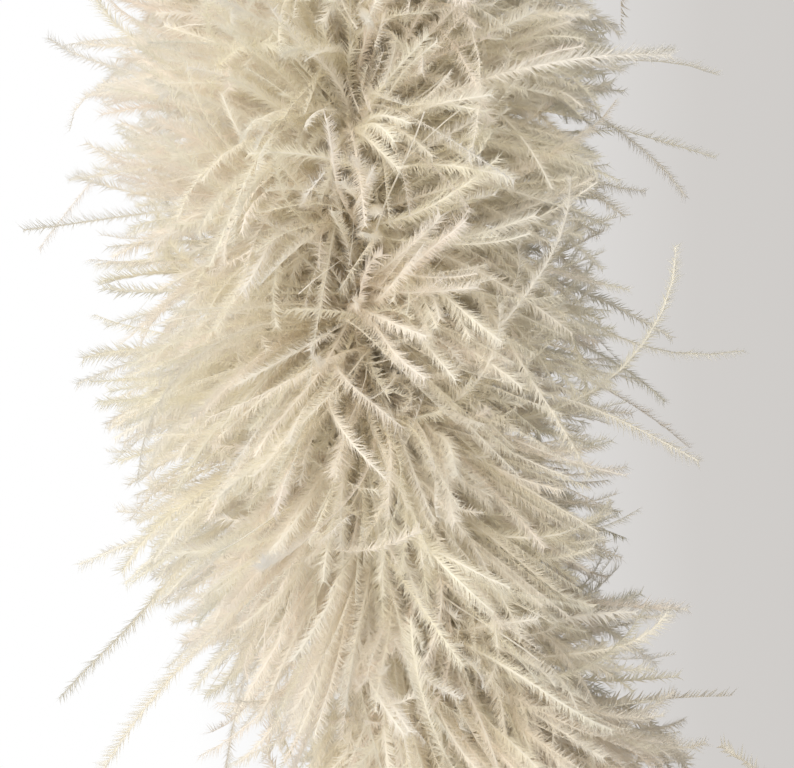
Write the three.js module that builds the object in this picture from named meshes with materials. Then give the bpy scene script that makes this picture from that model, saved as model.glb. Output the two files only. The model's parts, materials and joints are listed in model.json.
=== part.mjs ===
// A long ostrich-feather boa, draped in an inverted U as it hangs round a neck, in millimetres.
// A twisted cord is the core. Pared quill strips, which carry the feather barbs, wind round it,
// thread whippings bind them down, and the barbs stand out from them as a thick soft plume.
// The origin is under the plume at the top of the loop, +Z is up and the front faces -Y.
import * as THREE from 'three';
import { mergeVertices } from 'three/addons/utils/BufferGeometryUtils.js';

// the drape
const LEG_SPACING = 350;        // between the two hanging legs, core to core
const NECK_TAIL = 40;           // straight stretch below the loop that is still part of the neck body
const SEGMENT_DEPTH = 146;      // height of each hinged stretch of a leg
const SEGMENTS_PER_LEG = 4;
const SWAY = 82;                // how far both legs drift to +X on their way down
const SWAY_START = 275;         // depth below the loop where the drift begins
const SWAY_RUN = 280;           // depth over which it takes place
const BEND_REACH = 30;          // degrees each hinge bends to either side

// the core cord and what is bound to it
const CORE_RADIUS = 3;
const QUILL_RADIUS = 0.7;
const QUILLS_PER_STRETCH = 2;
const QUILL_TURNS = 1;          // turns round the core in one stretch of a leg
const NECK_QUILL_TURNS = 2;     // and in one half of the neck
const QUILL_INSET = 12;         // quill strips stop this far from a bend
const THREAD_THICKNESS = 0.8;
const WHIPPING_WIDTH = 8;
const END_WHIPPING_WIDTH = 14;
const CORE_STUB = 3;            // bare core past the end whipping, cut square
const CLEARANCE = 0.3;          // between touching pieces
const PIVOT_GAP = 0.6;          // between two core stretches where they meet

// the plume: radial vanes of barbs round a bore
const PLUME_RADIUS = 110;
const ROOT_RADIUS = 12;         // where neighbouring vanes join
const VANES = 12;
const VANE_TIP_WIDTH = 1.2;
const BEND_MARGIN = 1;          // plume ends stay this far from the bend plane, at the core
const CURVE_ALLOWANCE = 6;      // degrees more lean on the plume ends, as the core curves at a bend
const FULL_WIDTH_FROM = 50;     // distance from a bend at which the plume is straight again
const PLUME_STEP = 32;          // about this far between two rings of the plume's surface
const TAIL_RADIUS = 70;         // the plume closes in at the two ends of the boa
const TAIL_DROOP = 68;          // and its barbs hang this far past the core

const loopRadius = LEG_SPACING / 2;
const quarterLoop = loopRadius * Math.PI / 2;
const loopCentreZ = PLUME_RADIUS - loopRadius;
const neckEnd = quarterLoop + NECK_TAIL;
const boaEnd = neckEnd + SEGMENTS_PER_LEG * SEGMENT_DEPTH;
const bendSlope = Math.tan(THREE.MathUtils.degToRad(BEND_REACH / 2 + CURVE_ALLOWANCE));

// a strip's chords cut inside its helix by this much, so it is wound that much further out
const QUILL_STEPS_PER_TURN = 12;
const quillSag = (CORE_RADIUS + QUILL_RADIUS) * (1 - Math.cos(Math.PI / QUILL_STEPS_PER_TURN));
const quillOrbit = CORE_RADIUS + CLEARANCE + quillSag + QUILL_RADIUS;
const whippingBore = quillOrbit + QUILL_RADIUS + CLEARANCE;
const whippingOuter = whippingBore + THREAD_THICKNESS;
const plumeBore = (whippingOuter + CLEARANCE) / Math.cos(Math.PI / VANES);

const plumeMaterial = new THREE.MeshStandardMaterial({ color: 0xd0c4b2, roughness: 0.95, metalness: 0 });
const coreMaterial = new THREE.MeshStandardMaterial({ color: 0xcfc3ab, roughness: 0.9, metalness: 0 });
const quillMaterial = new THREE.MeshStandardMaterial({ color: 0xe2d8c0, roughness: 0.55, metalness: 0 });
const threadMaterial = new THREE.MeshStandardMaterial({ color: 0xd8ccb4, roughness: 0.8, metalness: 0 });

// How far the legs have drifted sideways at a depth below the loop, and how steeply.
function swayAt(depth) {
  const t = THREE.MathUtils.clamp((depth - SWAY_START) / SWAY_RUN, 0, 1);
  return { offset: SWAY * t * t * (3 - 2 * t), slope: SWAY * 6 * t * (1 - t) / SWAY_RUN };
}

// The core's line. s runs from the left end (negative) over the loop's top (0) to the right end.
// The frame's x axis lies in the plane of the drape, its y axis is +Y and its z axis is the tangent.
function axisFrame(s) {
  const point = new THREE.Vector3();
  const tangent = new THREE.Vector3();
  if (Math.abs(s) <= quarterLoop) {
    const a = s / loopRadius;
    point.set(loopRadius * Math.sin(a), 0, loopCentreZ + loopRadius * Math.cos(a));
    tangent.set(Math.cos(a), 0, -Math.sin(a));
  } else {
    const side = Math.sign(s);
    const depth = Math.abs(s) - quarterLoop;
    const sway = swayAt(depth);
    point.set(side * loopRadius + sway.offset, 0, loopCentreZ - depth);
    tangent.set(side * sway.slope, 0, -side).normalize();
  }
  const y = new THREE.Vector3(0, 1, 0);
  return { point, x: new THREE.Vector3().crossVectors(y, tangent), y, tangent };
}

// Bends a shape that was made along +Z, with z as s, onto the core's line.
function layAlongCore(geometry) {
  const places = geometry.getAttribute('position');
  for (let i = 0; i < places.count; i++) {
    const frame = axisFrame(places.getZ(i));
    const p = frame.point.clone()
      .addScaledVector(frame.x, places.getX(i))
      .addScaledVector(frame.y, places.getY(i));
    places.setXYZ(i, p.x, p.y, p.z);
  }
  geometry.computeVertexNormals();
  return geometry;
}

// A lathe's own axis is Y, so it is turned to run along Z.
function latheAlongZ(profile, sides) {
  const geometry = new THREE.LatheGeometry(profile, sides).rotateX(Math.PI / 2);
  geometry.deleteAttribute('normal');
  geometry.deleteAttribute('uv');
  return mergeVertices(geometry, 1e-4);
}

// The core cord of one stretch, from s0 to s1. Its ends are round where it meets the next stretch
// and flat where the boa ends, and it has a ring of vertices at every step to follow the drape.
function coreCord(s0, s1, roundStart, roundEnd, step = 24) {
  const sides = 8;
  const capSteps = 2;
  const start = roundStart ? s0 + PIVOT_GAP / 2 + CORE_RADIUS : s0;
  const end = roundEnd ? s1 - PIVOT_GAP / 2 - CORE_RADIUS : s1;
  const steps = Math.max(2, Math.round((end - start) / step));
  const profile = [];
  if (roundStart) {
    for (let i = 0; i < capSteps; i++) {
      const a = i / capSteps * Math.PI / 2;
      profile.push(new THREE.Vector2(CORE_RADIUS * Math.sin(a), start - CORE_RADIUS * Math.cos(a)));
    }
  } else {
    profile.push(new THREE.Vector2(0, start));
  }
  for (let i = 0; i <= steps; i++) {
    profile.push(new THREE.Vector2(CORE_RADIUS, start + (end - start) * i / steps));
  }
  if (roundEnd) {
    for (let i = capSteps - 1; i >= 0; i--) {
      const a = i / capSteps * Math.PI / 2;
      profile.push(new THREE.Vector2(CORE_RADIUS * Math.sin(a), end + CORE_RADIUS * Math.cos(a)));
    }
  } else {
    profile.push(new THREE.Vector2(0, end));
  }
  return layAlongCore(latheAlongZ(profile, sides));
}

// The line of one pared quill strip, wound round the core between s0 and s1.
class QuillHelix extends THREE.Curve {
  constructor(s0, s1, turns, startAngle) {
    super();
    Object.assign(this, { s0, s1, turns, startAngle });
  }

  getPoint(t, target = new THREE.Vector3()) {
    const a = this.startAngle + t * this.turns * 2 * Math.PI;
    const s = this.s0 + (this.s1 - this.s0) * t;
    return target.set(quillOrbit * Math.cos(a), quillOrbit * Math.sin(a), s);
  }
}

function quillStrip(s0, s1, turns, startAngle) {
  const section = new THREE.Shape();
  const sides = 5;
  for (let i = 0; i < sides; i++) {
    const a = i / sides * 2 * Math.PI;
    const draw = i === 0 ? 'moveTo' : 'lineTo';
    section[draw](QUILL_RADIUS * Math.cos(a), QUILL_RADIUS * Math.sin(a));
  }
  section.closePath();
  const geometry = new THREE.ExtrudeGeometry(section, {
    steps: QUILL_STEPS_PER_TURN * turns,
    extrudePath: new QuillHelix(s0 + QUILL_INSET, s1 - QUILL_INSET, turns, startAngle),
  });
  geometry.deleteAttribute('normal');
  geometry.deleteAttribute('uv');
  return layAlongCore(mergeVertices(geometry, 1e-4));
}

// A band of binding thread round the core and its quill strips.
function whipping(middle, width) {
  const profile = [
    new THREE.Vector2(whippingBore, middle - width / 2),
    new THREE.Vector2(whippingOuter, middle - width / 2),
    new THREE.Vector2(whippingOuter, middle + width / 2),
    new THREE.Vector2(whippingBore, middle + width / 2),
    new THREE.Vector2(whippingBore, middle - width / 2),
  ];
  return layAlongCore(latheAlongZ(profile, 12));
}

// The plume round one stretch: thin radial vanes of barbs that join near the core, with a bore for
// the bound core. Each section has a radius and places a vertex at radius r at s = base + lean * r,
// so a leaning section makes a coned end.
function plumeStar(sections) {
  const ring = 4 * VANES;
  const places = [];
  for (const { base, lean, radius } of sections) {
    const put = (r, angle) => places.push(r * Math.cos(angle), r * Math.sin(angle), base + lean * r);
    const tipAngle = VANE_TIP_WIDTH / 2 / radius;
    for (let i = 0; i < VANES; i++) {
      const valley = (i - 0.5) / VANES * 2 * Math.PI;
      const middle = i / VANES * 2 * Math.PI;
      put(plumeBore, valley);
      put(ROOT_RADIUS, valley);
      put(radius, middle - tipAngle);
      put(radius, middle + tipAngle);
    }
  }
  const faces = [];
  const corner = (section, vane, k) => section * ring + (vane % VANES) * 4 + k;
  const last = sections.length - 1;
  for (let i = 0; i < VANES; i++) {
    const at = (section) => ({
      bore: corner(section, i, 0), valley: corner(section, i, 1),
      tipA: corner(section, i, 2), tipB: corner(section, i, 3),
      boreNext: corner(section, i + 1, 0), valleyNext: corner(section, i + 1, 1),
    });
    for (let k = 0; k < last; k++) {
      const a = at(k);
      const b = at(k + 1);
      // both faces of a vane are split from the valley of one section to the tip of the next
      faces.push(a.valley, a.tipA, b.tipA, a.valley, b.tipA, b.valley);
      faces.push(a.tipA, a.tipB, b.tipB, a.tipA, b.tipB, b.tipA);
      faces.push(a.tipB, a.valleyNext, b.tipB, a.valleyNext, b.valleyNext, b.tipB);
      faces.push(a.bore, b.boreNext, a.boreNext, a.bore, b.bore, b.boreNext);
    }
    const a = at(0);
    faces.push(a.bore, a.boreNext, a.valleyNext, a.bore, a.valleyNext, a.valley);
    faces.push(a.valley, a.valleyNext, a.tipB, a.valley, a.tipB, a.tipA);
    const b = at(last);
    faces.push(b.bore, b.valleyNext, b.boreNext, b.bore, b.valley, b.valleyNext);
    faces.push(b.valley, b.tipB, b.valleyNext, b.valley, b.tipA, b.tipB);
  }
  const geometry = new THREE.BufferGeometry();
  geometry.setAttribute('position', new THREE.Float32BufferAttribute(places, 3));
  geometry.setIndex(faces);
  return layAlongCore(geometry);
}

// The sections of a plume between s0 and s1, each of whose ends is 'bend', 'tail' or 'flat'. A section
// stands beside each edge of a whipping, so that the bore follows the drape there.
function plumeSections(s0, s1, startKind, endKind, whippings) {
  const edge = (s, kind, way) => {
    if (kind === 'bend') {
      return { base: s + way * BEND_MARGIN, lean: way * bendSlope, radius: PLUME_RADIUS };
    }
    if (kind === 'tail') {
      const lean = (TAIL_DROOP + CORE_STUB) / (TAIL_RADIUS - plumeBore);
      return { base: s + way * (CORE_STUB + lean * plumeBore), lean: -way * lean, radius: TAIL_RADIUS };
    }
    return { base: s + way * CLEARANCE / 2, lean: 0, radius: PLUME_RADIUS };
  };
  const straight = { bend: FULL_WIDTH_FROM, tail: FULL_WIDTH_FROM / 2, flat: 0 };
  const from = s0 + straight[startKind];
  const to = s1 - straight[endKind];
  const beside = WHIPPING_WIDTH / 2 + CLEARANCE;
  const marks = [from, to, ...whippings.flatMap((s) => [s - beside, s + beside])]
    .filter((s) => s >= from && s <= to)
    .sort((a, b) => a - b);
  const sections = [edge(s0, startKind, 1)];
  if (startKind !== 'flat') sections.push({ base: from, lean: 0, radius: PLUME_RADIUS });
  for (let i = 1; i < marks.length; i++) {
    const gap = marks[i] - marks[i - 1];
    const steps = Math.max(1, Math.round(gap / PLUME_STEP));
    for (let k = 1; k <= steps; k++) {
      const base = marks[i - 1] + gap * k / steps;
      if (base < to || endKind !== 'flat') sections.push({ base, lean: 0, radius: PLUME_RADIUS });
    }
  }
  sections.push(edge(s1, endKind, -1));
  return sections;
}

const boa = new THREE.Group();

function add(group, name, geometry, material) {
  const mesh = new THREE.Mesh(geometry, material);
  mesh.name = name;
  group.add(mesh);
}

// Quill strips of one stretch, spaced evenly round the core.
function addQuills(group, name, s0, s1, turns) {
  for (let i = 0; i < QUILLS_PER_STRETCH; i++) {
    const letter = String.fromCharCode('a'.charCodeAt(0) + i);
    const startAngle = i / QUILLS_PER_STRETCH * 2 * Math.PI;
    add(group, `${name}_quill_${letter}`, quillStrip(s0, s1, turns, startAngle), quillMaterial);
  }
}

// the neck: the whole loop and a short straight stretch on each side
const neck = new THREE.Group();
add(neck, 'neck_core', coreCord(-neckEnd, neckEnd, true, true), coreMaterial);
const quarter = neckEnd / 2;
const neckWhippings = { left: -quarter * 1.5, middle: 0, right: quarter * 1.5 };
const NECK_PLUMES = [
  ['neck_plume_left', -neckEnd, 'bend', 'flat'],
  ['neck_plume_top_left', -quarter, 'flat', 'flat'],
  ['neck_plume_top_right', 0, 'flat', 'flat'],
  ['neck_plume_right', quarter, 'flat', 'bend'],
];
for (const [name, s0, startKind, endKind] of NECK_PLUMES) {
  const sections = plumeSections(s0, s0 + quarter, startKind, endKind, Object.values(neckWhippings));
  add(neck, name, plumeStar(sections), plumeMaterial);
}
addQuills(neck, 'neck_left', -neckEnd, 0, NECK_QUILL_TURNS);
addQuills(neck, 'neck_right', 0, neckEnd, NECK_QUILL_TURNS);
for (const [place, s] of Object.entries(neckWhippings)) {
  add(neck, `neck_${place}_whipping`, whipping(s, WHIPPING_WIDTH), threadMaterial);
}
boa.add(neck);

// the two legs: stretches counted down from the neck
for (const [side, way] of [['left', -1], ['right', 1]]) {
  for (let i = 0; i < SEGMENTS_PER_LEG; i++) {
    const name = `${side}_${i + 1}`;
    const isTail = i === SEGMENTS_PER_LEG - 1;
    const near = neckEnd + i * SEGMENT_DEPTH;
    const far = near + SEGMENT_DEPTH;
    const [s0, s1] = way > 0 ? [near, far] : [-far, -near];
    const farKind = isTail ? 'tail' : 'bend';
    const [startKind, endKind] = way > 0 ? ['bend', farKind] : [farKind, 'bend'];
    const middle = (s0 + s1) / 2;
    const stretch = new THREE.Group();
    add(stretch, `${name}_core`, coreCord(s0, s1, startKind === 'bend', endKind === 'bend'), coreMaterial);
    const sections = plumeSections(s0, s1, startKind, endKind, [middle]);
    add(stretch, `${name}_plume`, plumeStar(sections), plumeMaterial);
    addQuills(stretch, name, s0, s1, QUILL_TURNS);
    add(stretch, `${name}_whipping`, whipping(middle, WHIPPING_WIDTH), threadMaterial);
    if (isTail) {
      const place = way * (boaEnd - CORE_STUB - END_WHIPPING_WIDTH / 2);
      add(stretch, `${side}_end_whipping`, whipping(place, END_WHIPPING_WIDTH), threadMaterial);
    }
    boa.add(stretch);
  }
}

export default boa;
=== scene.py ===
import json
import math

import bmesh
import bpy
import numpy as np
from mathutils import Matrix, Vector


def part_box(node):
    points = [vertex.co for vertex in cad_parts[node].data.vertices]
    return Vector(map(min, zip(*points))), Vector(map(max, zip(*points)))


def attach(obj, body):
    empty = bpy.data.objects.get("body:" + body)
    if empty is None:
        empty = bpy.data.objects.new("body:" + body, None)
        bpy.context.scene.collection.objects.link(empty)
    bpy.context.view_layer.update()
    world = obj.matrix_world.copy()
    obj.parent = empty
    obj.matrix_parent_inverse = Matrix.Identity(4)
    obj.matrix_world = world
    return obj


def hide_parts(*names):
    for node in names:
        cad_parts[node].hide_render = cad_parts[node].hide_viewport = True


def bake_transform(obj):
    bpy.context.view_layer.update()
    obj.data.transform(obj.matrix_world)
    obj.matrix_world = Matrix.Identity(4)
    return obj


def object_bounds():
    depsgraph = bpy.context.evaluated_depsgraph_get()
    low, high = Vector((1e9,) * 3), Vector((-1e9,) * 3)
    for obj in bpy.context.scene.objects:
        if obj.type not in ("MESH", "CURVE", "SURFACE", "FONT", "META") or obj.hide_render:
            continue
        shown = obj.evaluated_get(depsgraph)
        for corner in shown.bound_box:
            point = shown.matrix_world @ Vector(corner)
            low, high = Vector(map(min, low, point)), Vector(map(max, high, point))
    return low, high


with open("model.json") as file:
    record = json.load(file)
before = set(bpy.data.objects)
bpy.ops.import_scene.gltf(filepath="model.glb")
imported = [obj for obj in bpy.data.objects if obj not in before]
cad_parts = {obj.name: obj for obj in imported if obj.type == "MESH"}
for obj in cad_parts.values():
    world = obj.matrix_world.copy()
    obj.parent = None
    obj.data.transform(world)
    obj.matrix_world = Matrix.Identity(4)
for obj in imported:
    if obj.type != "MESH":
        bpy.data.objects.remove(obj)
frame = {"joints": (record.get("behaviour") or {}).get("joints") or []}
cad_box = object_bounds()

# ---------------------------------------------------------------------------
# The line of the drape
# The boa hangs in an inverted U: a half circle over whatever holds it, then two legs that drift
# sideways together. Every piece below is laid along this line, s metres from the top of the loop.

joints = {j["name"]: j for j in frame["joints"]}
loop_radius = -joints["left_bend_1"]["pos_m"][0]
plume_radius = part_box("neck_plume_top_left")[1].y
loop_centre_z = plume_radius - loop_radius
quarter_loop = loop_radius * math.pi / 2
sway = 0.082               # how far both legs drift sideways
sway_start = 0.275         # metres below the top of the legs
sway_run = 0.280           # the height over which they drift
bend_depths = [loop_centre_z - joints[f"left_bend_{i}"]["pos_m"][2] for i in (1, 2, 3, 4)]
stretch = bend_depths[1] - bend_depths[0]
leg_depth = bend_depths[3] + stretch
boa_end = quarter_loop + leg_depth


def drape(s):
    """Points of the core's line at an array of s, with the directions there: outwards in the plane
    of the drape, to the back (+Y), and along the line."""
    s = np.asarray(s, float)
    side = np.where(s < 0, -1.0, 1.0)
    angle = np.clip(s, -quarter_loop, quarter_loop) / loop_radius
    depth = np.maximum(np.abs(s) - quarter_loop, 0.0)
    t = np.clip((depth - sway_start) / sway_run, 0.0, 1.0)
    on_leg = depth > 0
    x = loop_radius * np.sin(angle) + sway * t * t * (3 - 2 * t)
    z = loop_centre_z + loop_radius * np.cos(angle) * ~on_leg - depth
    slope = sway * 6 * t * (1 - t) / sway_run
    along = np.stack([np.cos(angle), 0 * s, -np.sin(angle)], -1)
    hanging = np.stack([side * slope, 0 * s, -side], -1)
    along = np.where(on_leg[..., None], hanging, along)
    along /= np.linalg.norm(along, axis=-1, keepdims=True)
    across = np.cross([0.0, 1.0, 0.0], along)
    back = np.broadcast_to([0.0, 1.0, 0.0], across.shape)
    return np.stack([x, 0 * s, z], -1), across, back, along


# Pieces that cross a bend run from the middle of one stretch to the middle of the next and are tied to no
# body; the loop and the two tails ride on one body.
spans = [("neck", -quarter_loop, quarter_loop, "neck", None)]
for side, way in (("left", -1), ("right", 1)):
    edges = [quarter_loop] + [quarter_loop + d + stretch / 2 for d in bend_depths] + [boa_end]
    for i in range(len(edges) - 1):
        upper = "neck" if i == 0 else f"{side}_{i}"
        lower = f"{side}_{i + 1}" if i < len(bend_depths) else None
        s0, s1 = way * edges[i], way * edges[i + 1]
        spans.append((f"{side}_bend_{i + 1}" if lower else f"{side}_tail", s0, s1, upper, lower))


def hang_on(piece, s0, s1, upper, lower):
    """Ties a piece to its body; a piece between two bodies is tied to neither, and only its placement is
    applied to its mesh.
    """
    if lower is None:
        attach(piece, upper)
    else:
        ends = drape([s0, s1])[0]
        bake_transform(piece)


# ---------------------------------------------------------------------------
# The core cord
# A soft cotton cord of three strands laid up together. It runs from end to end inside the plume,
# each strand spun from yarn, and is cut square at both ends.

core_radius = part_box("neck_core")[1].y
strand_radius = core_radius / (1 + 2 / math.sqrt(3))
strand_pitch = 0.016       # length of cord in which a strand goes round once


class Value:
    """A node socket that can be used in sums, for shader maths written as expressions."""

    def __init__(self, tree, socket):
        self.tree, self.socket = tree, socket

    def maths(self, operation, a, b):
        return add_node(self.tree, "ShaderNodeMath", {"operation": operation}, {0: a, 1: b})

    def __add__(self, other):
        return self.maths("ADD", self, other)

    def __radd__(self, other):
        return self.maths("ADD", other, self)

    def __sub__(self, other):
        return self.maths("SUBTRACT", self, other)

    def __rsub__(self, other):
        return self.maths("SUBTRACT", other, self)

    def __mul__(self, other):
        return self.maths("MULTIPLY", self, other)

    def __rmul__(self, other):
        return self.maths("MULTIPLY", other, self)

    def __pow__(self, other):
        return self.maths("POWER", self, other)


def add_node(tree, kind, settings=None, inputs=None, output=0):
    """Adds a node, sets its settings and then its sockets' values or links, and returns one output."""
    node = tree.nodes.new(kind)
    for name, value in (settings or {}).items():
        if name == "ramp":
            ramp = node.color_ramp
            while len(ramp.elements) < len(value):
                ramp.elements.new(0.5)
            for element, (position, colour) in zip(ramp.elements, value):
                element.position, element.color = position, (*colour, 1)
        else:
            setattr(node, name, value)
    for name, value in (inputs or {}).items():
        socket = node.inputs[name]
        if isinstance(value, Value):
            tree.links.new(value.socket, socket)
        else:
            socket.default_value = value
    return Value(tree, node.outputs[output]) if len(node.outputs) else None


def new_material(name):
    material = bpy.data.materials.new(name)
    material.use_nodes = True
    material.node_tree.nodes.clear()
    return material, material.node_tree


def set_surface(tree, shader):
    add_node(tree, "ShaderNodeOutputMaterial", inputs={"Surface": shader})


def yarn_material(name, colour, twist, lift):
    """Spun yarn: slanting plies with painted shade in the grooves between them, and a fine uneven fuzz.
    twist is plies per metre, and lift is how far they stand up."""
    material, tree = new_material(name)
    run = add_node(tree, "ShaderNodeAttribute", {"attribute_name": "run"}, output="Fac")
    across = add_node(tree, "ShaderNodeAttribute", {"attribute_name": "round"}, output="Vector")
    parts = add_node(tree, "ShaderNodeSeparateXYZ", inputs={0: across})
    across_y = Value(tree, parts.socket.node.outputs["Y"])
    turn = run * (2 * math.pi * twist)
    sine = add_node(tree, "ShaderNodeMath", {"operation": "SINE"}, {0: turn})
    cosine = add_node(tree, "ShaderNodeMath", {"operation": "COSINE"}, {0: turn})
    ply = (sine * parts + cosine * across_y) * 0.5 + 0.5
    place = add_node(tree, "ShaderNodeTexCoord", output="Object")
    fuzz_settings = {"Vector": place, "Scale": 2600.0, "Detail": 3.0}
    fuzz = add_node(tree, "ShaderNodeTexNoise", inputs=fuzz_settings, output="Fac")
    # painted shade: the grooves between the plies get a darker colour, where the bump sinks
    groove_shade = tuple(part * 0.62 for part in colour)
    tint = add_node(
        tree,
        "ShaderNodeValToRGB",
        {"ramp": [(0.0, groove_shade), (0.55, colour), (1.0, colour)]},
        {"Fac": ply * 0.7 + fuzz * 0.3},
    )
    height = ply + fuzz * 0.4
    bump = add_node(tree, "ShaderNodeBump", inputs={"Height": height, "Distance": lift, "Strength": 0.8})
    inputs = {"Base Color": tint, "Roughness": 0.9, "Normal": bump}
    set_surface(tree, add_node(tree, "ShaderNodeBsdfPrincipled", inputs=inputs))
    return material


def add_input(tree, name, kind, value):
    socket = tree.interface.new_socket(name, in_out="INPUT", socket_type=kind)
    if value is not None:
        socket.default_value = value
    return socket.identifier


def thread_tree(material):
    """Lines in, round threads out. Each thread knows its place along its run and round its section."""
    tree = bpy.data.node_groups.new("threads_on_lines", "GeometryNodeTree")
    tree.interface.new_socket("Geometry", in_out="INPUT", socket_type="NodeSocketGeometry")
    tree.interface.new_socket("Geometry", in_out="OUTPUT", socket_type="NodeSocketGeometry")
    inputs = {
        "Radius": add_input(tree, "Radius", "NodeSocketFloat", 0.001),
        "Sides": add_input(tree, "Sides", "NodeSocketInt", 8),
    }
    given = tree.nodes.new("NodeGroupInput")

    def store(geometry, name, kind, value):
        settings = {"data_type": kind, "domain": "POINT"}
        inputs = {"Geometry": geometry, "Name": name, "Value": value}
        return add_node(tree, "GeometryNodeStoreNamedAttribute", settings, inputs)

    radius = Value(tree, given.outputs["Radius"])
    lines = Value(tree, given.outputs["Geometry"])
    curve = add_node(tree, "GeometryNodeMeshToCurve", inputs={"Mesh": lines})
    curve = store(curve, "run", "FLOAT", add_node(tree, "GeometryNodeSplineParameter", output="Length"))
    sides = Value(tree, given.outputs["Sides"])
    ring = {"Resolution": sides, "Radius": radius}
    section = add_node(tree, "GeometryNodeCurvePrimitiveCircle", inputs=ring)
    place = {"Vector": add_node(tree, "GeometryNodeInputPosition"), "Scale": radius ** -1.0}
    scaled = add_node(tree, "ShaderNodeVectorMath", {"operation": "SCALE"}, place)
    section = store(section, "round", "FLOAT_VECTOR", scaled)
    swept = {"Curve": curve, "Profile Curve": section, "Fill Caps": True}
    threads = add_node(tree, "GeometryNodeCurveToMesh", inputs=swept)
    threads = add_node(tree, "GeometryNodeRealizeInstances", inputs={"Geometry": threads})
    threads = add_node(tree, "GeometryNodeSetMaterial", inputs={"Geometry": threads, "Material": material})
    out = tree.nodes.new("NodeGroupOutput")
    tree.links.new(threads.socket, out.inputs["Geometry"])
    return tree, inputs


def line_object(name, lines):
    """A mesh of open lines, each an array of points."""
    mesh = bpy.data.meshes.new(name)
    edges = []
    start = 0
    for line in lines:
        edges += [(start + i, start + i + 1) for i in range(len(line) - 1)]
        start += len(line)
    mesh.from_pydata(np.concatenate(lines).tolist(), edges, [])
    piece = bpy.data.objects.new(name, mesh)
    bpy.context.scene.collection.objects.link(piece)
    return piece


def apply_tree(piece, tree, settings):
    """Runs the tree on a piece and keeps the result as its plain mesh."""
    modifier = piece.modifiers.new("tree", "NODES")
    modifier.node_group = tree
    for identifier, number in settings.items():
        modifier[identifier] = number
    seen = piece.evaluated_get(bpy.context.evaluated_depsgraph_get())
    mesh = bpy.data.meshes.new_from_object(seen)
    piece.modifiers.remove(modifier)
    old = piece.data
    piece.data = mesh
    bpy.data.meshes.remove(old)
    mesh.name = piece.name


def round_core(s, orbit, angle):
    """Points on a spiral round the core: at each s, orbit metres out at an angle."""
    point, across, back, _ = drape(s)
    return point + across * (orbit * np.cos(angle))[:, None] + back * (orbit * np.sin(angle))[:, None]


cord_look = yarn_material("cotton_cord", (0.74, 0.68, 0.56), 420, 0.0002)
tree, tree_inputs = thread_tree(cord_look)
ring_spacing = 0.0014      # between the points along a strand
strand_count = 3
for name, s0, s1, upper, lower in spans:
    s = np.linspace(s0, s1, int(abs(s1 - s0) / ring_spacing))
    orbit = np.full(len(s), core_radius - strand_radius)
    laid = [2 * math.pi * (s / strand_pitch + k / strand_count) for k in range(strand_count)]
    strands = [round_core(s, orbit, angle) for angle in laid]
    piece = line_object(f"{name}_cord", strands)
    apply_tree(piece, tree, {tree_inputs["Radius"]: strand_radius, tree_inputs["Sides"]: 8})
    if name == "neck":
        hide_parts("neck_core")
    elif lower:
        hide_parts(f"{lower}_core")
    hang_on(piece, s0, s1, upper, lower)

# ---------------------------------------------------------------------------
# The quill strips
# The ostrich quill is pared down to a thin horny strip that carries the barbs, and two strips are
# wound round each stretch of the core. They stop short of the bends, where the boa has to give.

binding_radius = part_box("neck_middle_whipping")[1].y
binding_thread = 0.0004    # its radius
quill_orbit = (core_radius + binding_radius - 2 * binding_thread) / 2
quill_width = 0.0014
quill_thickness = 0.0008
quill_gap = 0.012          # from a bend
neck_end = quarter_loop + bend_depths[0]
halves = [("neck_left", -neck_end, 0.0, 2), ("neck_right", 0.0, neck_end, 2)]
stretches = {"neck": halves}
for side, way in (("left", -1), ("right", 1)):
    for i in range(len(bend_depths)):
        ends = sorted((way * (neck_end + i * stretch), way * (neck_end + (i + 1) * stretch)))
        stretches[f"{side}_{i + 1}"] = [(f"{side}_{i + 1}", *ends, 1)]


def horn_material():
    """Pared quill: pale glossy horn with darker streaks along the strip."""
    material, tree = new_material("pared_quill")
    run = add_node(tree, "ShaderNodeAttribute", {"attribute_name": "run"}, output="Fac")
    wide = add_node(tree, "ShaderNodeAttribute", {"attribute_name": "wide"}, output="Fac")
    grain = add_node(tree, "ShaderNodeCombineXYZ", inputs={0: run * 60, 1: wide * 7, 2: 0.0})
    grain_settings = {"Vector": grain, "Scale": 1.0, "Detail": 4.0}
    streaks = add_node(tree, "ShaderNodeTexNoise", inputs=grain_settings, output="Fac")
    tint = add_node(
        tree,
        "ShaderNodeValToRGB",
        {"ramp": [(0.3, (0.58, 0.48, 0.33)), (0.5, (0.78, 0.70, 0.55)), (0.7, (0.88, 0.83, 0.71))]},
        {"Fac": streaks},
    )
    rough = streaks * 0.3 + 0.3
    relief = {"Height": streaks, "Distance": 0.00008, "Strength": 0.6}
    bump = add_node(tree, "ShaderNodeBump", inputs=relief)
    inputs = {"Base Color": tint, "Roughness": rough, "Normal": bump}
    set_surface(tree, add_node(tree, "ShaderNodeBsdfPrincipled", inputs=inputs))
    return material


def unit(vectors):
    return vectors / np.maximum(np.linalg.norm(vectors, axis=-1, keepdims=True), 1e-9)


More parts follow.
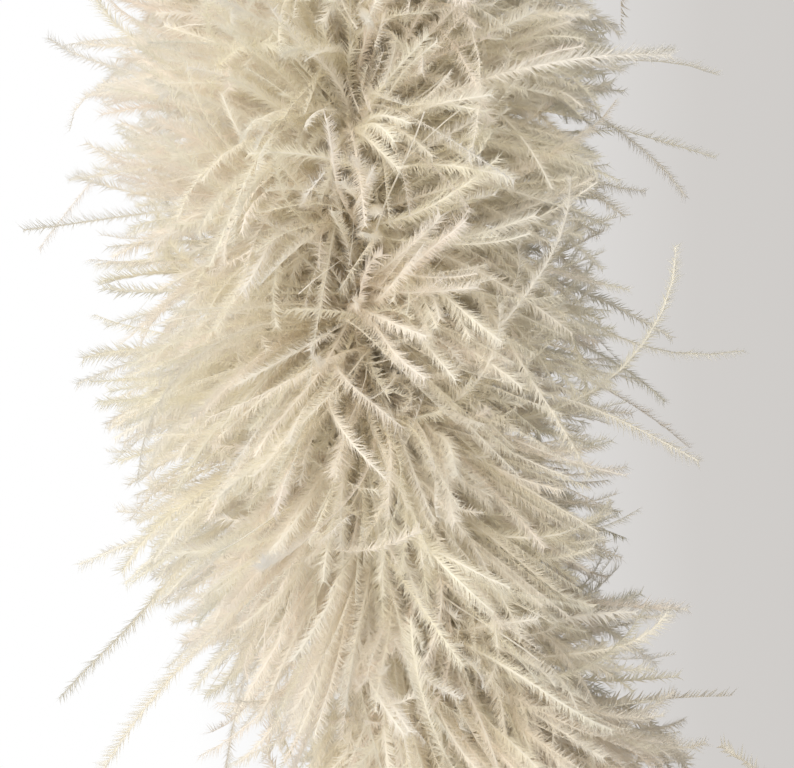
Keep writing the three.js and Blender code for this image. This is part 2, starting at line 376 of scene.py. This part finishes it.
def quill_object(name, strips):
    """Closed strips of a half-round section, flat side to the core, thinned at both ends."""
    section = np.linspace(0, math.pi, 6)
    sides = len(section)
    places, faces, run, wide = [], [], [], []
    for s0, s1, turns, start_angle in strips:
        s = np.linspace(s0 + quill_gap, s1 - quill_gap, 48 * turns)
        t = np.linspace(0, 1, len(s))
        angle = start_angle + 2 * math.pi * turns * t
        point, across, back, _ = drape(s)
        out = across * np.cos(angle)[:, None] + back * np.sin(angle)[:, None]
        flat_side = point + out * (quill_orbit - quill_thickness / 2)
        sideways = unit(np.cross(unit(np.gradient(flat_side, axis=0)), out))
        taper = np.clip(np.minimum(t, 1 - t) * 30 + 0.25, 0, 1)
        half = np.outer(taper, np.cos(section) * quill_width / 2)
        height = np.outer(taper, np.sin(section) * quill_thickness)
        rings = flat_side[:, None] + sideways[:, None] * half[..., None] + out[:, None] * height[..., None]
        first = sum(len(part) for part in places)
        places.append(rings.reshape(-1, 3))
        run.append(np.repeat(s - s0, sides))
        wide.append(np.tile(np.linspace(0, 1, sides), len(s)))
        for i in range(len(s) - 1):
            for k in range(sides):
                a, b = first + i * sides + k, first + i * sides + (k + 1) % sides
                faces.append((a, b, b + sides, a + sides))
        faces.append(tuple(first + k for k in reversed(range(sides))))
        faces.append(tuple(first + (len(s) - 1) * sides + k for k in range(sides)))
    mesh = bpy.data.meshes.new(name)
    mesh.from_pydata(np.concatenate(places).tolist(), [], faces)
    for key, values in (("run", run), ("wide", wide)):
        values = np.concatenate(values).astype(np.float32)
        mesh.attributes.new(key, "FLOAT", "POINT").data.foreach_set("value", values)
    shape = bmesh.new()
    shape.from_mesh(mesh)
    bmesh.ops.recalc_face_normals(shape, faces=shape.faces)
    shape.to_mesh(mesh)
    shape.free()
    piece = bpy.data.objects.new(name, mesh)
    bpy.context.scene.collection.objects.link(piece)
    return piece


horn_look = horn_material()
for body, parts in stretches.items():
    strips = [(s0, s1, turns, k * math.pi) for part, s0, s1, turns in parts for k in (0, 1)]
    piece = quill_object(f"{body}_quills", strips)
    piece.data.materials.append(horn_look)
    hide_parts(*[f"{part}_quill_{letter}" for part, *ends in parts for letter in "ab"])
    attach(piece, body)

# ---------------------------------------------------------------------------
# The whippings
# Waxed cotton thread is wound tightly round the quill strips, turn beside turn, and its end is
# drawn back across the turns. Each stretch has one band, and each end of the boa a wider one.

band_width = 0.008
end_band_width = 0.014
core_stub = 0.003          # bare core past the end bands
turn_steps = 20            # points in one turn


def whipping_lines(middle, width):
    """The wound thread, and the end that is drawn back over it."""
    turns = width / (2 * binding_thread) - 1
    t = np.linspace(0, 1, int(turns * turn_steps))
    orbit = binding_radius - binding_thread
    places = middle + (t - 0.5) * (width - 2 * binding_thread)
    wound = round_core(places, np.full(len(t), orbit), 2 * math.pi * turns * t)
    t = np.linspace(0, 1, 16)
    lift = binding_thread * 1.6 * np.sin(math.pi * t) ** 0.3
    drawn = round_core(middle + (0.5 - t) * width, orbit + lift, 2 * math.pi * turns + 0.9 * t)
    return [wound, drawn]


thread_look = yarn_material("waxed_thread", (0.80, 0.73, 0.60), 1500, 0.00008)
tree, tree_inputs = thread_tree(thread_look)
for body, parts in stretches.items():
    if body == "neck":
        bands = {"neck_left": -0.75 * neck_end, "neck_middle": 0.0, "neck_right": 0.75 * neck_end}
    else:
        bands = {body: (parts[0][1] + parts[0][2]) / 2}
    lines = [line for middle in bands.values() for line in whipping_lines(middle, band_width)]
    replaced = [f"{band}_whipping" for band in bands]
    if body.endswith("_4"):
        side = body.split("_")[0]
        middle = math.copysign(boa_end - core_stub - end_band_width / 2, bands[body])
        lines += whipping_lines(middle, end_band_width)
        replaced.append(f"{side}_end_whipping")
    piece = line_object(f"{body}_whippings", lines)
    apply_tree(piece, tree, {tree_inputs["Radius"]: binding_thread, tree_inputs["Sides"]: 6})
    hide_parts(*replaced)
    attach(piece, body)

# ---------------------------------------------------------------------------
# The plume
# Ostrich barbs, each a fine horny stem with soft barbules down both sides, stand out from the bound
# quill strips in tufts that cling together, then droop and curl under their own weight.

barb_length = 0.085        # usual, from root to tip
length_spread, least_length = 0.009, 0.05
stray_length = (0.115, 0.140)
short_length = (0.032, 0.076)
barb_points = 13           # points along a barb's stem
root_radius = 0.0045       # where the quill strips lie round the core
barbule_length = 0.0046
barbule_slant = math.radians(42)   # from the stem's direction
barbule_lift = math.radians(24)    # out of the barb's own plane
barbule_wobble = math.radians(17)  # each one's own, at most
least_fluff = 0.12         # below this share of their length, barbules are worn off
# The barbs were brushed up and down the boa in waves: their usual lean down it in radians, how far
# the lean swings each way, a wave's length, and where one starts below the top of the legs.
usual_lay, lay_swing = 0.26, 0.55
lay_wave, lay_start = 0.60, 0.285


def barb_material():
    """Cream barb: each has its own tint, painted shade towards its root and a paler horny stem, and it
    lets light through.
    """
    material, tree = new_material("ostrich_barb")
    tone = add_node(tree, "ShaderNodeAttribute", {"attribute_name": "tone"}, output="Fac")
    along = add_node(tree, "ShaderNodeAttribute", {"attribute_name": "along"}, output="Fac")
    stem = add_node(tree, "ShaderNodeAttribute", {"attribute_name": "stem"}, output="Fac")
    tint = add_node(
        tree,
        "ShaderNodeValToRGB",
        {
            "ramp": [
                (0.0, (0.95, 0.90, 0.85)),
                (0.35, (0.95, 0.92, 0.86)),
                (0.7, (0.94, 0.92, 0.83)),
                (1.0, (0.97, 0.955, 0.93)),
            ]
        },
        {"Fac": tone},
    )
    # painted shade: each barb is coloured darker and warmer towards its root, deep in the plume
    root_shade = add_node(
        tree,
        "ShaderNodeValToRGB",
        {"ramp": [(0.0, (0.98, 0.94, 0.86)), (0.4, (0.99, 0.975, 0.95)), (1.0, (1.0, 1.0, 1.0))]},
        {"Fac": along * (1 - stem) + stem * 0.5},
    )
    multiply = {"data_type": "RGBA", "blend_type": "MULTIPLY"}
    colour = add_node(tree, "ShaderNodeMix", multiply, {0: 1.0, 6: tint, 7: root_shade}, 2)
    horn_sides = {0: stem, 6: colour, 7: (0.97, 0.95, 0.90, 1)}
    horn = add_node(tree, "ShaderNodeMix", {"data_type": "RGBA"}, horn_sides, 2)
    surface = add_node(
        tree,
        "ShaderNodeBsdfPrincipled",
        inputs={"Base Color": horn, "Roughness": 0.7, "Specular IOR Level": 0.2},
    )
    through = add_node(tree, "ShaderNodeBsdfTranslucent", inputs={"Color": horn})
    set_surface(tree, add_node(tree, "ShaderNodeMixShader", inputs={0: 0.6, 1: surface, 2: through}))
    return material


def barb_tree(material):
    """Stems in, barbs out: a tapering strip along each stem and a pair of barbules at every step."""
    tree = bpy.data.node_groups.new("barbs_on_stems", "GeometryNodeTree")
    tree.interface.new_socket("Geometry", in_out="INPUT", socket_type="NodeSocketGeometry")
    tree.interface.new_socket("Geometry", in_out="OUTPUT", socket_type="NodeSocketGeometry")
    inputs = {
        "Stem width": add_input(tree, "Stem width", "NodeSocketFloat", 0.0010),
        "Barbule length": add_input(tree, "Barbule length", "NodeSocketFloat", barbule_length),
        "Barbule width": add_input(tree, "Barbule width", "NodeSocketFloat", 0.0008),
        "Barbule spacing": add_input(tree, "Barbule spacing", "NodeSocketFloat", 0.0010),
        "Seed": add_input(tree, "Seed", "NodeSocketInt", 1),
    }
    given = tree.nodes.new("NodeGroupInput")

    def value(name):
        return Value(tree, given.outputs[name])

    def named(name, kind="FLOAT"):
        settings = {"data_type": kind}
        return add_node(tree, "GeometryNodeInputNamedAttribute", settings, {"Name": name})

    def scaled(vector, by):
        inputs = {"Vector": vector, "Scale": by}
        return add_node(tree, "ShaderNodeVectorMath", {"operation": "SCALE"}, inputs)

    def on_stem(geometry, number):
        return add_node(
            tree,
            "GeometryNodeStoreNamedAttribute",
            {"data_type": "FLOAT", "domain": "POINT"},
            {"Geometry": geometry, "Name": "stem", "Value": number},
        )

    side = named("side", "FLOAT_VECTOR")
    width = value("Stem width") * (1 - 0.45 * named("along"))
    edge = add_node(
        tree,
        "GeometryNodeSetPosition",
        inputs={"Geometry": value("Geometry"), "Offset": scaled(side, width * -0.5)},
    )
    across_stem = {"Mesh": edge, "Offset": side, "Offset Scale": width}
    strips = add_node(tree, "GeometryNodeExtrudeMesh", {"mode": "EDGES"}, across_stem)
    whole = tree.nodes.new("GeometryNodeJoinGeometry")
    tree.links.new(on_stem(strips, 1.0).socket, whole.inputs[0])

    # one barbule is a long thin triangle with its root at the origin, pointing along +X; the
    # triangle in a circle of radius 1 is 1.5 long and root 3 wide
    corners = {"Vertices": 3, "Radius": 1.0}
    triangle = add_node(tree, "GeometryNodeMeshCircle", {"fill_type": "NGON"}, corners)
    root_at_origin = add_node(
        tree, "GeometryNodeTransform", inputs={"Geometry": triangle, "Translation": (0.5, 0, 0)}
    )
    long = value("Barbule length") * (1 / 1.5)
    wide = value("Barbule width") * (1 / math.sqrt(3))
    size = add_node(tree, "ShaderNodeCombineXYZ", inputs={0: long, 1: wide, 2: 1.0})
    barbule = add_node(tree, "GeometryNodeTransform", inputs={"Geometry": root_at_origin, "Scale": size})
    pair = tree.nodes.new("GeometryNodeJoinGeometry")
    for turn in (math.pi / 2 - barbule_slant, math.pi / 2 + barbule_slant):
        placed = {"Geometry": barbule, "Rotation": (0, -barbule_lift, turn)}
        tree.links.new(add_node(tree, "GeometryNodeTransform", inputs=placed).socket, pair.inputs[0])

    curve = add_node(tree, "GeometryNodeMeshToCurve", inputs={"Mesh": value("Geometry")})
    spaced = {"Curve": curve, "Length": value("Barbule spacing")}
    points = add_node(tree, "GeometryNodeCurveToPoints", {"mode": "LENGTH"}, spaced)
    tangent = Value(tree, points.socket.node.outputs["Tangent"])
    facing = add_node(
        tree,
        "FunctionNodeAxesToRotation",
        {"primary_axis": "Y", "secondary_axis": "X"},
        {"Primary Axis": tangent, "Secondary Axis": side},
    )

    def random(kind, low, high, salt):
        """A random value for each point, with a seed of its own."""
        node = tree.nodes.new("FunctionNodeRandomValue")
        node.data_type = kind
        for socket in node.inputs:
            if socket.enabled and socket.name in ("Min", "Max"):
                socket.default_value = low if socket.name == "Min" else high
        tree.links.new((value("Seed") + salt).socket, node.inputs["Seed"])
        return Value(tree, next(o for o in node.outputs if o.enabled))

    most = Vector((barbule_wobble, barbule_wobble * 1.6, barbule_wobble))
    wobble = random("FLOAT_VECTOR", tuple(-most), tuple(most), 11)
    turn = add_node(tree, "FunctionNodeEulerToRotation", inputs={0: wobble})
    both_turns = {"Rotation": facing, "Rotate By": turn}
    rotation = add_node(tree, "FunctionNodeRotateRotation", {"rotation_space": "LOCAL"}, both_turns)
    fluff = named("fluff") * random("FLOAT", 0.6, 1.2, 23)
    scale = add_node(tree, "ShaderNodeCombineXYZ", inputs={0: fluff, 1: fluff, 2: fluff})
    greater = {"data_type": "FLOAT", "operation": "GREATER_THAN"}
    shown = add_node(tree, "FunctionNodeCompare", greater, {0: fluff, 1: least_fluff})
    barbules = add_node(
        tree,
        "GeometryNodeInstanceOnPoints",
        inputs={
            "Points": points,
            "Selection": shown,
            "Instance": Value(tree, pair.outputs[0]),
            "Rotation": rotation,
            "Scale": scale,
        },
    )
    barbules = add_node(tree, "GeometryNodeRealizeInstances", inputs={"Geometry": barbules})
    tree.links.new(on_stem(barbules, 0.0).socket, whole.inputs[0])
    joined = Value(tree, whole.outputs[0])
    done = add_node(tree, "GeometryNodeRealizeInstances", inputs={"Geometry": joined})
    done = add_node(tree, "GeometryNodeSetMaterial", inputs={"Geometry": done, "Material": material})
    out = tree.nodes.new("NodeGroupOutput")
    tree.links.new(done.socket, out.inputs["Geometry"])
    return tree, inputs


# How the barbs of a tuft vary: pairs are the spread from tuft to tuft and the spread within one.
tuft_size = 6              # barbs
place_spread = 0.003       # metres along the core, within a tuft
turn_spread = 0.13         # radians round the core, within a tuft
lean_spread = (0.26, 0.12)         # radians along the boa
swerve_spread = (0.55, 0.14)       # round the boa, as a slope
most_lean = 1.1
short_lean, short_swerve = (0.1, 0.9), (0.0, 1.0)      # middle and spread of the short barbs'
fade_in = 0.08             # metres from the top of the loop in which the barbs find their lay
# The bends are in radians per metre of barb.
usual_droop, droop_spread, most_droop, least_stray_droop = 3.2, 0.65, 14, 5
usual_press, press_spread, short_press = 9.5, (4.5, 2.0), 0.6
curl_spread, stray_curl = (8.0, 3.5), 1.8
tip_curl_spread = (16.0, 10.0)
wave_bend, wave_count = 8.0, 1.6
hook_share, short_hook_share = 0.04, 0.3
hook_curl, hook_tip_curl = 16, (30, 75)
curl_axis_spread = 0.45
stray_share = 0.03
bare_share = 0.03          # barbs whose barbules are worn off
cling_share = (0.1, 0.8)   # how far a barb's tip is drawn to the middle of its tuft
tip_scatter = 0.0035
soft_depth, hard_depth = 0.098, 0.120      # from the middle of the plume to its front or back
whole_twist = 1.3          # radians from root to tip
fluffiness = (0.75, 1.15)  # the length of a barb's barbules, as a share of the usual
bare_fluff = 0.10
tone_range, tone_spread = (0.1, 0.9), 0.16


def walk_stems(place, heading, length, bends):
    """Points and headings along the stems, each of which turns a little at every point."""
    step = (length / (barb_points - 1))[:, None]
    places = np.empty((len(length), barb_points, 3))
    headings = np.empty_like(places)
    for k in range(barb_points):
        places[:, k], headings[:, k] = place, heading
        t = k / (barb_points - 1)
        place = place + heading * step
        sag = np.array([0.0, 0.0, -1.0]) - heading * -heading[:, 2:3]
        aside = heading[:, 1:2] * (heading * heading[:, 1:2] - np.array([0.0, 1.0, 0.0]))
        curl = bends["curl"] + bends["tip curl"] * t * t
        wave = wave_bend * np.cos(2 * math.pi * wave_count * t + bends["wave phase"])
        turn_by = (
            sag * (bends["droop"] * (1.15 - t))[:, None]
            + aside * bends["press"][:, None]
            + np.cross(bends["curl axis"], heading) * curl[:, None]
            + bends["wave axis"] * wave[:, None]
        )
        heading = unit(heading + turn_by * step)
    return places, headings


def cling_together(rng, places, tuft, tufts, loose):
    """Draws the barbs of each tuft together towards their tips, all but the loose ones."""
    middle = np.zeros((tufts, barb_points, 3))
    np.add.at(middle, tuft, places)
    middle /= np.maximum(np.bincount(tuft, minlength=tufts), 1)[:, None, None]
    cling = np.where(loose, 0.0, rng.uniform(*cling_share, len(places)))
    t = np.linspace(0, 1, barb_points)
    pull = cling[:, None, None] * (t * t * (3 - 2 * t))[None, :, None]
    meeting = middle[tuft] + rng.normal(0, tip_scatter, (len(places), 1, 3))
    return places + (meeting - places) * pull


def keep_to_depth(places):
    """Presses the barbs flat where they reach far to the front or back."""
    beyond = np.maximum(np.abs(places[..., 1]) - soft_depth, 0)
    room = hard_depth - soft_depth
    held = soft_depth + room * np.tanh(beyond / room)
    places[..., 1] = np.where(beyond > 0, np.sign(places[..., 1]) * held, places[..., 1])


def side_vectors(rng, headings):
    """A direction across each stem at each point, which turns slowly round the stem."""
    count = len(headings)
    side = unit(np.cross(headings[:, 0], rng.normal(0, 1, (count, 3))))
    twist = rng.normal(0, whole_twist, count) / (barb_points - 1)
    sides = np.empty_like(headings)
    for k in range(barb_points):
        heading = headings[:, k]
        side = unit(side - heading * np.sum(side * heading, -1, keepdims=True))
        sides[:, k] = side
        side = side * np.cos(twist)[:, None] + np.cross(heading, side) * np.sin(twist)[:, None]
    return sides


def grow_stems(rng, s0, s1, count, arc, short_share):
    """Stems of one span that leave the core within an arc round it: points, side vectors and how
    fluffy each point is, with a tone for each stem."""
    tufts = max(4, count // tuft_size)
    tuft = rng.integers(0, tufts, count)

    def shared(draw, spread, size=()):
        return draw((tufts, *size))[tuft] + rng.normal(0, spread, (count, *size))

    def varied(middle, spreads):
        return shared(lambda n: rng.normal(middle, spreads[0], n), spreads[1])

    # short curly barbs fill the plume near the core and belong to no tuft
    short = rng.random(count) < short_share
    low, high = min(s0, s1), max(s0, s1)
    s = np.clip(shared(lambda n: rng.uniform(low, high, n), place_spread), low, high)
    s = np.where(short, rng.uniform(low, high, count), s)
    turn = shared(lambda n: rng.uniform(*arc, n), turn_spread)
    turn = np.where(short, rng.uniform(*arc, count), turn)
    point, across, back, along = drape(s)
    out = across * np.cos(turn)[:, None] + back * np.sin(turn)[:, None]
    around = back * np.cos(turn)[:, None] - across * np.sin(turn)[:, None]
    # down the leg on both sides, fading out at the top of the loop
    downwards = along * np.clip(s / fade_in, -1, 1)[:, None]
    depth = np.abs(s) - quarter_loop
    lay = usual_lay + lay_swing * np.sin(2 * math.pi * (depth - lay_start) / lay_wave)
    lean = lay + varied(0, lean_spread)
    swerve = varied(0, swerve_spread)
    lean = np.where(short, rng.normal(*short_lean, count), lean)
    swerve = np.where(short, rng.normal(*short_swerve, count), swerve)
    slope = np.tan(np.clip(lean, -most_lean, most_lean))
    heading = unit(out + downwards * slope[:, None] + around * swerve[:, None])

    stray = rng.random(count) < stray_share
    far = rng.uniform(*stray_length, count)
    usual = rng.normal(barb_length, length_spread, count)
    length = np.clip(np.where(stray, far, usual), least_length, stray_length[1])
    length = np.where(short, rng.uniform(*short_length, count), length)
    droop = np.minimum(rng.lognormal(math.log(usual_droop), droop_spread, count), most_droop)
    droop = np.where(stray, np.maximum(droop, least_stray_droop), droop)
    # the boa was packed flat, so barbs that would point to the front or back are pressed aside
    press = np.maximum(varied(usual_press, press_spread), 0) * np.where(short, short_press, 1)
    curl_axis = unit(np.cross(heading, shared(lambda n: rng.normal(0, 1, n), curl_axis_spread, (3,))))
    curl = varied(0, curl_spread) * np.where(stray, stray_curl, 1)
    tip_curl = varied(0, tip_curl_spread)
    hooked = (rng.random(count) < hook_share) | (short & (rng.random(count) < short_hook_share))
    hook = rng.choice([-1, 1], count) * rng.uniform(*hook_tip_curl, count)
    tip_curl = np.where(hooked, hook, tip_curl)
    curl = np.where(hooked, np.sign(tip_curl) * rng.uniform(0, hook_curl, count), curl)
    bends = {
        "droop": droop,
        "press": press,
        "curl axis": curl_axis,
        "curl": curl,
        "tip curl": tip_curl,
        "wave axis": unit(rng.normal(0, 1, (count, 3))),
        "wave phase": rng.uniform(0, 2 * math.pi, count),
    }
    places, headings = walk_stems(point + out * root_radius, heading, length, bends)
    places = cling_together(rng, places, tuft, tufts, stray | hooked | short)
    keep_to_depth(places)
    sides = side_vectors(rng, headings)

    # barbules are shorter near the root and at the very tip
    t = np.linspace(0, 1, barb_points)
    fluff = np.clip(0.75 + 3.0 * t, 0, 1) * np.clip(0.8 + 4.0 * (1 - t), 0, 1)
    bare = rng.random(count) < bare_share
    fluff = fluff[None, :] * np.where(bare, bare_fluff, rng.uniform(*fluffiness, count))[:, None]
    tone = np.clip(shared(lambda n: rng.uniform(*tone_range, n), tone_spread), 0, 1)
    return places, sides, fluff, tone


def stem_object(name, places, sides, fluff, tone):
    """A mesh of stem lines that carries what the barb tree reads."""
    count = len(places)
    mesh = bpy.data.meshes.new(name)
    index = np.arange(count * barb_points).reshape(count, barb_points)
    edges = np.stack([index[:, :-1], index[:, 1:]], -1).reshape(-1, 2)
    mesh.vertices.add(count * barb_points)
    mesh.vertices.foreach_set("co", places.astype(np.float32).ravel())
    mesh.edges.add(len(edges))
    mesh.edges.foreach_set("vertices", edges.astype(np.int32).ravel())
    along = np.broadcast_to(np.linspace(0, 1, barb_points), fluff.shape)
    tones = np.broadcast_to(tone[:, None], fluff.shape)
    for key, values in (("along", along), ("fluff", fluff), ("tone", tones)):
        values = values.astype(np.float32).ravel()
        mesh.attributes.new(key, "FLOAT", "POINT").data.foreach_set("value", values)
    sides = sides.astype(np.float32).ravel()
    mesh.attributes.new("side", "FLOAT_VECTOR", "POINT").data.foreach_set("vector", sides)
    mesh.update()
    piece = bpy.data.objects.new(name, mesh)
    bpy.context.scene.collection.objects.link(piece)
    return piece


def add_bake_map(mesh):
    """A map laid out by what a barb's colour depends on: its tone, and the place along it."""
    corners = np.empty(len(mesh.loops), np.int32)
    mesh.loops.foreach_get("vertex_index", corners)
    values = {}
    for key in ("tone", "along", "stem"):
        values[key] = np.empty(len(mesh.vertices), np.float32)
        mesh.attributes[key].data.foreach_get("value", values[key])
        values[key] = values[key][corners]
    first = np.empty(len(mesh.polygons), np.int32)
    size = np.empty(len(mesh.polygons), np.int32)
    mesh.polygons.foreach_get("loop_start", first)
    mesh.polygons.foreach_get("loop_total", size)
    turn = np.arange(len(corners)) - np.repeat(first, size)
    on_stem = values["stem"] > 0.5
    margin, least = 0.03, 0.006    # round the map, and half of a face's width
    u = values["tone"] * (0.5 - 2 * margin) + margin + 0.5 * on_stem
    v = values["along"] * (1 - 2 * margin) + margin
    # every face keeps some width both ways: a stem's corners go round it, a barbule is a triangle
    u += np.where(on_stem, np.where((turn == 1) | (turn == 2), least, -least), (turn - 1) * least)
    v += np.where(on_stem, 0, np.where(turn == 1, least, -least / 2))
    bake_map = mesh.uv_layers.new(name="OFBake", do_init=False)
    bake_map.uv.foreach_set("vector", np.stack([u, v], -1).astype(np.float32).ravel())


barb_look = barb_material()
tree, tree_inputs = barb_tree(barb_look)
neck_places = ("left", "top_left", "top_right", "right")
plume_nodes = {"neck": [f"neck_plume_{place}" for place in neck_places]}
for side in ("left", "right"):
    for i in range(1, len(bend_depths) + 1):
        plume_nodes[f"{side}_bend_{i}"] = [f"{side}_{i}_plume"]

# Each layer has so many barbs per metre of core, made as a few pieces. The front of the stretches
# that are seen closest has the finest barbules. "stem" is a stem's width at its root.
all_round = (0.0, 2 * math.pi)
past_side = 0.35           # radians by which the front goes on past the sides
front_arc = (math.pi - past_side, 2 * math.pi + past_side)
back_arc = (past_side, math.pi - past_side)
plain_barbules = {"spacing": 0.0025, "width": 0.0026, "stem": 0.0018}
medium_barbules = {"spacing": 0.00065, "width": 0.00065, "stem": 0.0009}
curly_barbules = {"spacing": 0.00062, "width": 0.00055, "stem": 0.00075}
near_barbules = {"spacing": 0.0011, "width": 0.0011, "stem": 0.0014}
fine_barbules = {"spacing": 0.00032, "width": 0.00032, "stem": 0.00075}


def layer(letters, per_metre, arc, short, barbules):
    """letters name the layer's pieces, arc is where it leaves the core, and short is the share of
    short barbs."""
    return {
        "letters": letters,
        "per metre": per_metre,
        "arc": arc,
        "short": short,
        "barbules": barbules,
    }


fine_layers = [
    layer("abcdef", 5800, front_arc, 0.0, fine_barbules),
    layer("gh", 3600, front_arc, 1.0, curly_barbules),
    layer("ij", 2900, back_arc, 0.15, medium_barbules),
]
near_layers = [layer("a", 4400, all_round, 0.3, near_barbules)]
plain_layers = [layer("a", 4400, all_round, 0.3, plain_barbules)]
neck_layers = [layer("abcd", 4400, all_round, 0.3, plain_barbules)]
seed = 7                   # each piece takes the next one
for name, s0, s1, upper, lower in spans:
    layers = plain_layers
    if name in ("left_bend_2", "left_bend_3"):
        layers = fine_layers
    elif name in ("left_bend_1", "left_bend_4"):
        layers = near_layers
    elif name == "neck":
        layers = neck_layers
    nodes = plume_nodes.get(name, [])
    for kind in layers:
        plies = len(kind["letters"])
        for ply, letter in enumerate(kind["letters"]):
            # the plies of a layer lie through each other; the neck's parts follow one another
            a, b = s0, s1
            if name == "neck":
                a, b = s0 + (s1 - s0) * ply / plies, s0 + (s1 - s0) * (ply + 1) / plies
            count = int(kind["per metre"] * abs(s1 - s0) / plies)
            seed += 1
            rng = np.random.default_rng(seed)
            stems = grow_stems(rng, a, b, count, kind["arc"], kind["short"])
            piece = stem_object(f"{name}_barbs_{letter}", *stems)
            settings = {
                tree_inputs["Barbule spacing"]: kind["barbules"]["spacing"],
                tree_inputs["Barbule width"]: kind["barbules"]["width"],
                tree_inputs["Stem width"]: kind["barbules"]["stem"],
                tree_inputs["Seed"]: seed,
            }
            apply_tree(piece, tree, settings)
            add_bake_map(piece.data)
            if nodes:
                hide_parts(*nodes)
                nodes = []
            hang_on(piece, s0, s1, upper, lower)

# ---------------------------------------------------------------------------
# The studio
# A pale floor well below the boa, and a backdrop that is white to the left and grey to the right.
# The light is soft and comes from the front left.

floor_z = cad_box[0].z - 0.45
floor_radius = 2.2
clear_from = 0.9           # the floor fades out from here to its rim
mesh = bpy.data.meshes.new("floor")
disc = bmesh.new()
bmesh.ops.create_circle(disc, cap_ends=True, segments=96, radius=floor_radius)
bmesh.ops.translate(disc, verts=disc.verts, vec=(0, 0, floor_z))
disc.to_mesh(mesh)
disc.free()
floor = bpy.data.objects.new("floor", mesh)
bpy.context.scene.collection.objects.link(floor)
material, nodes = new_material("pale_floor")
place = add_node(nodes, "ShaderNodeTexCoord", output="Object")
radius = add_node(nodes, "ShaderNodeVectorMath", {"operation": "LENGTH"}, {0: place}, "Value")
rim = {"Value": radius, "From Min": clear_from, "From Max": floor_radius}
fade = add_node(nodes, "ShaderNodeMapRange", inputs=rim)
paint = {"Base Color": (0.8, 0.8, 0.79, 1), "Roughness": 0.8}
paper = add_node(nodes, "ShaderNodeBsdfPrincipled", inputs=paint)
nothing = add_node(nodes, "ShaderNodeBsdfTransparent")
set_surface(nodes, add_node(nodes, "ShaderNodeMixShader", inputs={0: fade, 1: paper, 2: nothing}))
mesh.materials.append(material)

world = bpy.data.worlds.new("studio")
bpy.context.scene.world = world
world.use_nodes = True
sky = world.node_tree
sky.nodes.clear()
direction = add_node(sky, "ShaderNodeTexCoord", output="Generated")
across = add_node(sky, "ShaderNodeSeparateXYZ", inputs={0: direction}, output="X")
depth = Value(sky, across.socket.node.outputs["Y"])
from_left = across * 0.5 + 0.5
white, grey = (1.0, 1.0, 1.0), (0.64, 0.62, 0.60)
backdrop = add_node(
    sky,
    "ShaderNodeValToRGB",
    {"ramp": [(0.0, white), (0.42, white), (0.62, grey), (1.0, (0.5, 0.49, 0.48))]},
    {"Fac": from_left},
)
# what the backdrop sends onto the boa is apart from how it looks: bright from the front left
bright, dim = (0.82, 0.82, 0.82), (0.24, 0.23, 0.21)
glow = add_node(
    sky,
    "ShaderNodeValToRGB",
    {"ramp": [(0.0, bright), (0.4, (0.8, 0.8, 0.8)), (0.6, dim), (1.0, (0.03, 0.026, 0.02))]},
    {"Fac": from_left},
)
to_back = {"Value": depth, "From Min": -0.8, "From Max": 0.6, "To Min": 1.75, "To Max": 0.4}
behind = add_node(sky, "ShaderNodeMapRange", inputs=to_back)
glow = add_node(sky, "ShaderNodeVectorMath", {"operation": "SCALE"}, {"Vector": glow, "Scale": behind})
seen = add_node(sky, "ShaderNodeLightPath", output="Is Camera Ray")
shade = add_node(sky, "ShaderNodeMix", {"data_type": "RGBA"}, {0: seen, 6: glow, 7: backdrop}, 2)
light = add_node(sky, "ShaderNodeBackground", inputs={"Color": shade, "Strength": 1.0})
add_node(sky, "ShaderNodeOutputWorld", inputs={"Surface": light})


def add_light(name, place, target, size, power, colour):
    light = bpy.data.lights.new(name, "AREA")
    light.shape, light.size, light.energy, light.color = "DISK", size, power, colour
    lamp = bpy.data.objects.new(name, light)
    lamp.location = place
    lamp.rotation_euler = (Vector(target) - Vector(place)).to_track_quat("-Z", "Y").to_euler()
    bpy.context.scene.collection.objects.link(lamp)


add_light("window", (-0.95, -1.5, 0.1), (-0.15, 0, -0.35), 1.6, 25, (1.0, 0.96, 0.90))

view_span = 0.278          # how wide the view is at the boa
view_distance = 0.42
view_depth = 0.285         # below the top of the legs
view_aside = 0.014         # to the right of the left leg's core
core_x = drape(-(quarter_loop + view_depth))[0][0]
target = Vector((core_x + view_aside, 0, loop_centre_z - view_depth))
camera = bpy.data.cameras.new("camera")
camera.sensor_width = 36
camera.lens = camera.sensor_width * view_distance / view_span
camera_object = bpy.data.objects.new("camera", camera)
camera_object.location = target + Vector((0, -view_distance, 0))
camera_object.rotation_euler = (math.pi / 2, 0, 0)
bpy.context.scene.collection.objects.link(camera_object)
bpy.context.scene.camera = camera_object
bpy.context.scene.view_settings.view_transform = "Standard"
bpy.context.scene.cycles.diffuse_bounces = 8    # pale barbs pass the light on to each other
